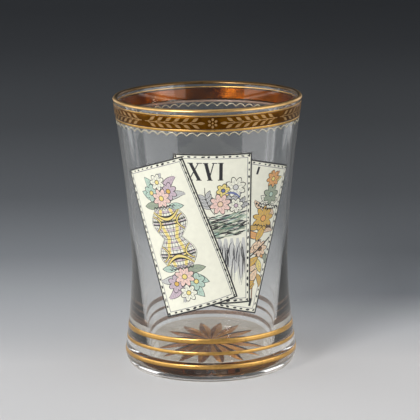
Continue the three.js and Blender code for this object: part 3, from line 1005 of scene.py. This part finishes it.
def flower(painter, x, y, radius, petal, eye, petals=6, turn=0.3):
    """A round flower of separate inked petals with veins and an eye."""
    turns = [turn + 2 * pi * i / petals for i in range(petals)]
    squash = 1.4 * pi / petals
    shape = disc(radius * FLOWER_PETAL, 12, squash)
    middles = [polar(x, y, t, radius * FLOWER_RING) for t in turns]
    painter.outlined([moved(shape, *middle, t) for middle, t in zip(middles, turns)], petal)
    root, tip = (radius * share for share in FLOWER_VEIN)
    veins = []
    for t in turns:
        for side in (-0.12, 0.12):
            start = polar(x, y, t + side / 2, root)
            veins.append(bar(*start, *polar(x, y, t + side, tip), VEIN))
    painter.coat(veins, "grey")
    painter.outlined([moved(disc(radius * FLOWER_EYE, 10), x, y)], eye)


def leaf_at(painter, x, y, angle, length, width, colour):
    """An inked leaf with a midrib and side veins."""
    painter.outlined([moved(leaf(length, width), x, y, angle)], colour)
    veins = [bar(length * 0.1, 0, length * 0.85, 0, 0.12)]
    for share in (0.3, 0.5, 0.7):
        for side in (-1, 1):
            veins.append(bar(length * share, 0, length * (share + 0.12), side * width * 0.3, VEIN))
    painter.coat([moved(vein, x, y, angle) for vein in veins], "grey")


def petal_ruff(painter, x, y, half, count, colour="black"):
    """A row of small arches under a bunch of flowers."""
    wide = half / count
    middles = [x - half + wide * (2 * i + 1) for i in range(count)]
    arches = [arc_points(m - wide, y, m + wide, y, 0.9 * wide) for m in middles]
    painter.coat([stroke(arch, RUFF_LINE) for arch in arches], colour)


def plume(painter, x, y, angle, length, colour):
    """A curved feathery leaf with many side barbs."""
    spine = arc_points(x, y, *polar(x, y, angle, length), length * PLUME_BOW, 10)
    painter.paint(stroke(spine, length * PLUME_WIDTH, 0.2), "black")
    painter.paint(stroke(spine, length * PLUME_WIDTH - 2 * INK_EDGE, 0.15), colour)
    barbs = []
    for px, py in spine[1:-1]:
        for side in (-1, 1):
            tip = polar(px, py, angle + side * 0.7, length * PLUME_BARB)
            barbs.append(bar(px, py, *tip, BARB))
    painter.coat(barbs, "grey")


def draw_rows(painter, draw, rows):
    """Draws once for each row of x, y, angle in degrees and further values."""
    for x, y, turn, *rest in rows:
        draw(painter, x, y, radians(turn), *rest)


def bouquet(painter):
    """Flowers and plumes over the neck of a vase."""
    draw_rows(painter, plume, (
        (2, 17, 48, 10, "mauve"), (3, 15, 14, 8, "pale_grey"), (1, 19, 78, 8, "pale_grey"),
    ))
    draw_rows(painter, leaf_at, (
        (-1.5, 16, 150, 9.0, 3.6, "mint"), (-1, 18, 122, 9.5, 3.8, "mint"),
        (-2, 14, 178, 7.5, 3.0, "sage"), (2, 13, -6, 6.5, 2.6, "mint"),
    ))
    flower(painter, -4.4, 19.4, 3.6, "mint", "yellow", 6)
    flower(painter, 3.9, 19.0, 3.7, "mauve", "ochre", 7)
    flower(painter, -0.2, 23.4, 3.4, "cream", "yellow", 7)
    flower(painter, -0.2, 16.6, 4.1, "pink", "yellow", 8)
    petal_ruff(painter, 0, 12.6, 5.2, 7)
    petal_ruff(painter, 0, 11.7, 4.6, 6, "grey")


def vase_half_width(y):
    """The double vase's outline: wide in the middle of each half and narrow between."""
    share = min(1, abs(y) / VASE_HALF_HEIGHT)
    return VASE_NECK + VASE_BELLY * sin(pi * share) ** VASE_ROUNDNESS + VASE_FLARE * share


def plaid_vase(painter):
    """A double-ended vase in a plaid of yellow, mauve and grey, with ink lines and swags."""
    top = VASE_HALF_HEIGHT
    heights = steps(-top, top, 26)
    outline = [(vase_half_width(y), y) for y in heights]
    outline += [(-vase_half_width(y), y) for y in reversed(heights)]
    painter.outlined([outline], "cream", 0.2)
    inner = steps(0.3 - top, top - 0.3, 24)

    def hoops(rows, width):
        lines = []
        for y in rows:
            half = vase_half_width(y) - 0.3
            lines.append(stroke(arc_points(-half, y, half, y, -0.7), width, 0.9))
        return lines

    def staves(shares, width):
        lines = [[(vase_half_width(y) * share, y) for y in inner] for share in shares]
        return [stroke(line, width, 0.9) for line in lines]

    painter.coat(hoops(steps(1 - top, top - 1, 9), 0.9), "mauve")
    painter.coat(staves((-0.8, 0, 0.8), 0.6), "pale_grey")
    painter.coat(staves((-0.42, 0.42), 1.4), "yellow")
    painter.coat(hoops(steps(1.6 - top, top - 1.6, 14), 0.2), "black")
    painter.coat(hoops((-7.4, -6.2, 6.2, 7.4), 0.55), "black")
    painter.coat(staves((-0.92, -0.64, -0.2, 0.2, 0.64, 0.92), 0.2), "black")
    for sag, width, colour in ((3.4, 0.8, "black"), (4.8, 1.3, "yellow"), (5.6, 0.35, "black")):
        for end in (-1, 1):
            high = end * (top - 1.2)
            swag = arc_points(-6, high, 6, high, -end * sag / 1.3, 12)
            painter.paint(stroke(swag, width, 0.5), colour)
    handles = []
    for side in (-1, 1):
        for end in (-1, 1):
            bend = -side * end * 2.6
            handles.append(arc_points(side * 6.8, end * 9.5, side * 6.2, end * 3.2, bend, 10))
    painter.coat([stroke(handle, 1.1, 0.6) for handle in handles], "black")
    painter.coat([stroke(handle, 0.55, 0.6) for handle in handles], "yellow")


def paint_left():
    painter = CardPainter("card_left")
    edge = painter.card["width"] / 2 - 2 * EDGE_LINE
    painter.paint(bar(edge, 1 - CARD_HEIGHT / 2, edge, CARD_HEIGHT / 2 - 1, 0.36), "black")
    painter.pose = (VASE_LEFT, 0, radians(VASE_TURN))
    plaid_vase(painter)
    for turn in (VASE_TURN, VASE_TURN + 180):
        painter.pose = (VASE_LEFT, 0, radians(turn))
        bouquet(painter)
    painter.finish("painting", ["card_left_ornament"], "green_enamel")


def roman_number(painter, letters, x, y, height):
    """Slab letters with thin serifs."""
    thick, thin, wide, space = 1.4, 0.45, 3.6, 2.5
    strokes = {
        "X": (wide, [(wide, 0, thick), (0, wide, thin)]),
        "V": (wide, [(wide / 2, 0, thick), (wide / 2, wide, thin)]),
        "I": (0, [(0, 0, thick)]),
    }
    start = x
    for letter in letters:
        width, lines = strokes[letter]
        for foot, head, weight in lines:
            stem = [
                (start + foot, y), (start + foot + weight, y),
                (start + head + weight, y + height), (start + head, y + height),
            ]
            serifs = [
                bar(start + end - 0.5, base, start + end + thick + 0.3, base, 0.35)
                for end, base in ((foot, y), (head, y + height))
            ]
            painter.coat([stem, *serifs], "black")
        start += width + space


def hatched_bank(painter, left, right, top, rise, rows, colours):
    """A grassy bank of many short brush strokes that climbs to the right."""
    for row in range(rows):
        rowful = {colour: [] for colour in colours}
        for i in range(BANK_STROKES):
            share = (i + random.random()) / BANK_STROKES
            x = left + (right - left) * share
            y = top + rise * share - row * BANK_ROW + random.uniform(*BANK_JITTER)
            end = y + random.uniform(*BANK_CLIMB)
            bend = random.uniform(*BANK_BEND)
            points = arc_points(x - BANK_REACH, y, x + BANK_REACH, end, bend, 5)
            rowful[random.choice(colours)].append(stroke(points, random.uniform(*BANK_INK), 0.2))
        for colour, strokes in rowful.items():
            if strokes:
                painter.coat(strokes, colour)


def reeds(painter, left, right, top, low, colours):
    """Hanging reeds under the bank, in grey and black."""
    for colour in colours:
        blades = []
        for _ in range(REED_BLADES):
            x = random.uniform(left, right)
            y = top + random.uniform(*REED_START)
            foot = y - random.uniform(*REED_LENGTH) * (top - low)
            foot_x = x + random.uniform(*REED_LEAN)
            points = arc_points(x, y, foot_x, foot, random.uniform(*REED_BEND), 7)
            blades.append(stroke(points, random.uniform(*REED_INK), 0.15))
        painter.coat(blades, colour)


def sprig(painter, x, y, angle, length, colour="pale_grey", count=4):
    """A curved twig with leaves on both sides."""
    twig = arc_points(x, y, *polar(x, y, angle, length), length * 0.1)
    painter.paint(stroke(twig, 0.35, 0.6), "black")
    for i in range(count):
        px, py = twig[2 + i]
        for side in (-1, 1):
            leaf_at(painter, px, py, angle + side * 0.8, length * 0.3, length * 0.12, colour)


def paint_middle():
    painter = CardPainter("card_middle")
    roman_number(painter, "XVI", -9.6, 20.4, 7)
    painter.finish("roman_number", ["card_middle_number"], "black_enamel")
    wash = [stroke(arc_points(x, -4, x - 1, -8 - x, 0.5), 2.4, 0.4) for x in steps(-2, 13, 6)]
    painter.coat(wash, "pale_grey")
    reeds(painter, -2, 14, -5, -23, REED_COLOURS)
    hatched_bank(painter, -8, 13.6, 2, 4.5, 8, BANK_COLOURS)
    draw_rows(painter, sprig, ((1, 6, 110, 12), (6, 7, 62, 14), (8, 7, 28, 9), (-1, 5, 150, 8)))
    flower(painter, 9.4, 17.2, 4.2, "cream", "pale_grey", 8)
    flower(painter, 4.3, 16.0, 2.7, "yellow", "blue", 6)
    flower(painter, 3.2, 10.4, 4.2, "pink", "peach", 8)
    flower(painter, 9.6, 9.6, 3.0, "cream", "mauve", 7)
    ribbon = arc_points(5.2, 14.6, 11.2, 12.8, 1.2)
    painter.paint(stroke(ribbon, 0.9, 0.3), "blue")
    painter.finish("painting", ["card_middle_ornament"], "rose_enamel")


def paint_right():
    painter = CardPainter("card_right")
    painter.paint(stroke(arc_points(12, -26, 7, 26, 1.5, 14), 0.7, 0.7), "brown")
    draw_rows(painter, plume, (
        (8, 22, 115, 6.5, "ochre"), (8, 22, 70, 6.5, "orange"), (8, 22, 40, 6, "yellow"),
        (7, 6, 200, 7, "ochre"), (7, 6, -25, 7, "brown"), (9, -2, 215, 7, "ochre"),
        (10, -6, -40, 6, "sage"), (10.5, -11, 205, 7, "peach"), (11, -15, -60, 6, "ochre"),
        (7, 13, 165, 7, "peach"), (7, 14, 20, 6.5, "yellow"), (9, 1, 170, 8, "orange"),
        (9, 2, 15, 5.5, "peach"), (11, -14, 235, 7, "orange"), (11.5, -19, 200, 7, "ochre"),
    ))
    draw_rows(painter, leaf_at, (
        (8, 15, 200, 5.5, 2.6, "cream"), (8, 15, 160, 5.5, 2.6, "cream"), (8, 15, 20, 5, 2.6, "cream"),
        (8, 12, -20, 5, 2.6, "peach"), (9, 5, 250, 7, 3, "ochre"), (9, -1, 240, 7, 3.2, "peach"),
        (10, -8, 225, 7, 3, "ochre"), (10, -9, 300, 6, 2.4, "yellow"), (11, -13, 250, 7, 3, "peach"),
        (11, -18, 220, 6, 2.6, "ochre"), (9, -3, 300, 6, 2.6, "orange"),
    ))
    flower(painter, 7.0, 24.6, 3.6, "orange", "yellow", 8)
    flower(painter, 8.0, 18.2, 4.1, "sage", "mint", 7)
    flower(painter, 7.2, 8.0, 5.2, "ochre", "orange", 9)
    flower(painter, 9.8, -4.6, 3.4, "peach", "brown", 7)
    beads = [moved(disc(0.5, 8), 1.6 + 12 * t, 13.6 - 6 * t * (1 - t)) for t in steps(0, 1, 9)]
    painter.coat(beads, "black")
    petal_ruff(painter, 8, 13.2, 5.4, 7)
    petal_ruff(painter, 8, 4.4, 4.6, 6)
    painter.paint(bar(4.4, -10.4, 13.4, 0.6, 0.5), "black")
    painter.coat([bar(x, y - 1.6, x, y + 1.6, 1.0) for x, y in ((-2.6, 27.0), (11.8, -26.8))], "black")
    painter.finish("painting", ["card_right_ornament"], "ochre_enamel")


# Surroundings
def sweep_material():
    """A pale floor that falls off to a dark backdrop, sooner on the right: its greys paint the light's
    fall-off, and on the right the key lamp's shade and part of the beaker's shadow.
    """
    material = bpy.data.materials.new("studio_sweep")
    shading = Shading(material)
    axes = shading.add("SeparateXYZ", {"Vector": shading.place()}).outputs
    along = shading.map_range(axes["Y"], FLOOR_START * MM, FLOOR_BACK * MM)
    across = shading.map_range(axes["X"], LEFT_FLOOR_EDGE * MM, RIGHT_FLOOR_EDGE * MM)
    # The right ramp is darker: painted shade and part of the beaker's shadow from the key lamp on the
    # left
    left, right = (shading.ramp(along, floor_stops(side)) for side in (0, 1))
    colour = shading.mix("MIX", across, left, right)
    shading.give(shading.main, {"Base Color": colour, "Roughness": 0.9})
    shading.bump(shading.noise(60, detail=6), 0.05 * MM)
    show_in_glass(shading, colour)
    return material


def show_in_glass(shading, colour):
    """Lets glass and metal show the floor at its plain brightness, without the lamps' shadow at the
    foot; a painted shadow darkens it where the beaker stands.
    """
    path = shading.add("LightPath", {}).outputs
    either = {0: path["Is Transmission Ray"], 1: path["Is Glossy Ray"]}
    seen = shading.add("Math", either, operation="MAXIMUM")
    inputs = {"Color": painted_foot_shadow(shading, colour), "Strength": FLOOR_GLOW}
    glow = shading.add("Emission", inputs)
    shading.show_other(seen.outputs["Value"], glow.outputs["Emission"])


def painted_foot_shadow(shading, colour):
    """The floor's colour with a painted shadow, darker and warmer, where the beaker stands on it."""
    reach = shading.add("VectorMath", {0: shading.place()}, operation="LENGTH").outputs["Value"]
    beyond = shading.map_range(reach, CONTACT_RADIUS * MM, PAINTED_SHADOW_REACH * MM)
    # Painted shadow: the floor darkens towards the beaker's foot
    shade = shading.ramp(beyond, [(0, PAINTED_SHADOW_TONE), (1, (1, 1, 1))])
    return shading.mix("MULTIPLY", 1, colour, shade)


def floor_stops(side):
    """Ramp stops from distances and greys, bluer where they are darker."""
    stops = []
    for distance, greys in FLOOR_TONES.items():
        grey = greys[side]
        share = (distance - FLOOR_START) / (FLOOR_BACK - FLOOR_START)
        blue = PALE_BLUE + ADDED_BLUE * (1 - grey / PALEST_FLOOR)
        stops.append((share, (grey, grey * (1 + blue) / 2, grey * blue)))
    return stops


def make_sweep():
    """A wide floor that curves up far behind the beaker."""
    profile = [(FLOOR_FRONT, -FLOOR_DROP), (FLOOR_BACK, -FLOOR_DROP)]
    for angle in steps(0, pi / 2, ARC_STEPS)[1:]:
        back = FLOOR_BACK + SWEEP_CURVE * sin(angle)
        profile.append((back, SWEEP_CURVE - SWEEP_CURVE * cos(angle)))
    profile.append((FLOOR_BACK + SWEEP_CURVE, SWEEP_TOP))
    verts = [(x, y, z) for y, z in profile for x in (-FLOOR_HALF_WIDTH, FLOOR_HALF_WIDTH)]
    faces = [[2 * i, 2 * i + 1, 2 * i + 3, 2 * i + 2] for i in range(len(profile) - 1)]
    mesh = bpy.data.meshes.new("studio_sweep")
    mesh.from_pydata([Vector(v) * MM for v in verts], [], faces)
    mesh.materials.append(sweep_material())
    sweep = add_object("studio_sweep", mesh)


def area_light(name, place, target, size, power):
    """A rectangular lamp that faces its target."""
    light = bpy.data.lights.new(name, "AREA")
    light.shape = "RECTANGLE"
    light.size, light.size_y = size
    light.energy = power
    lamp = add_object(name, light)
    lamp.location = Vector(place)
    lamp.rotation_euler = (Vector(target) - lamp.location).to_track_quat("-Z", "Y").to_euler()


def ring_place(azimuth, elevation, distance):
    """A place round the beaker, from angles in degrees."""
    a, e = radians(azimuth), radians(elevation)
    away = distance * cos(e)
    return (away * sin(a), -away * cos(a), distance * sin(e))


def make_lights():
    """A key from the left, weaker fills, and upright panels and strips that streak the glass."""
    for name, (azimuth, elevation, distance, size, power) in SOFTBOXES.items():
        area_light(name, ring_place(azimuth, elevation, distance), LAMP_TARGET, size, power)
    area_light("overhead_softbox", *OVERHEAD_SOFTBOX)
    for name, (azimuth, distance, size, power) in STANDING_PANELS.items():
        x, y, _ = ring_place(azimuth, 0, distance)
        middle = size[1] / 2 + PANEL_RISE
        area_light(name, (x, y, middle), (0, 0, middle), size, power)
    make_room()


def make_room():
    """Room light, brighter from above and behind than from the camera's side."""
    world = bpy.data.worlds.new("studio_room")
    bpy.context.scene.world = world
    shading = Shading(world, "Background")
    inputs = {0: shading.place("Generated"), 1: ROOM_BRIGHTEST}
    toward = shading.add("VectorMath", inputs, operation="DOT_PRODUCT")
    shading.give(shading.main, {"Color": shading.ramp(toward.outputs["Value"], ROOM_TONES)})


def make_camera():
    camera = bpy.data.cameras.new("photo_camera")
    camera.sensor_width = SENSOR_WIDTH
    camera.lens = FOCAL_PIXELS * SENSOR_WIDTH / IMAGE_WIDTH
    eye = add_object("photo_camera", camera)
    place = Vector((CAMERA_ACROSS, -CAMERA_DISTANCE, CAMERA_HEIGHT)) * MM
    tilt = Matrix.Rotation(radians(90 - CAMERA_PITCH), 4, "X")
    roll = Matrix.Rotation(radians(-CAMERA_ROLL), 4, "Z")
    eye.matrix_world = Matrix.Translation(place) @ tilt @ roll
    bpy.context.scene.camera = eye


bpy.context.scene.view_settings.view_transform = "Standard"
make_camera()
make_glass()
make_lip()
make_band()
for ring_name, (middle, width) in FOOT_RINGS.items():
    make_ring(f"gold_{ring_name}", ring_name, middle - width / 2, middle + width / 2,
              BRIGHT_GOLD, RING_BACK)
make_star()
paint_right()
paint_middle()
paint_left()
make_sweep()
make_lights()

bpy.context.view_layer.update()
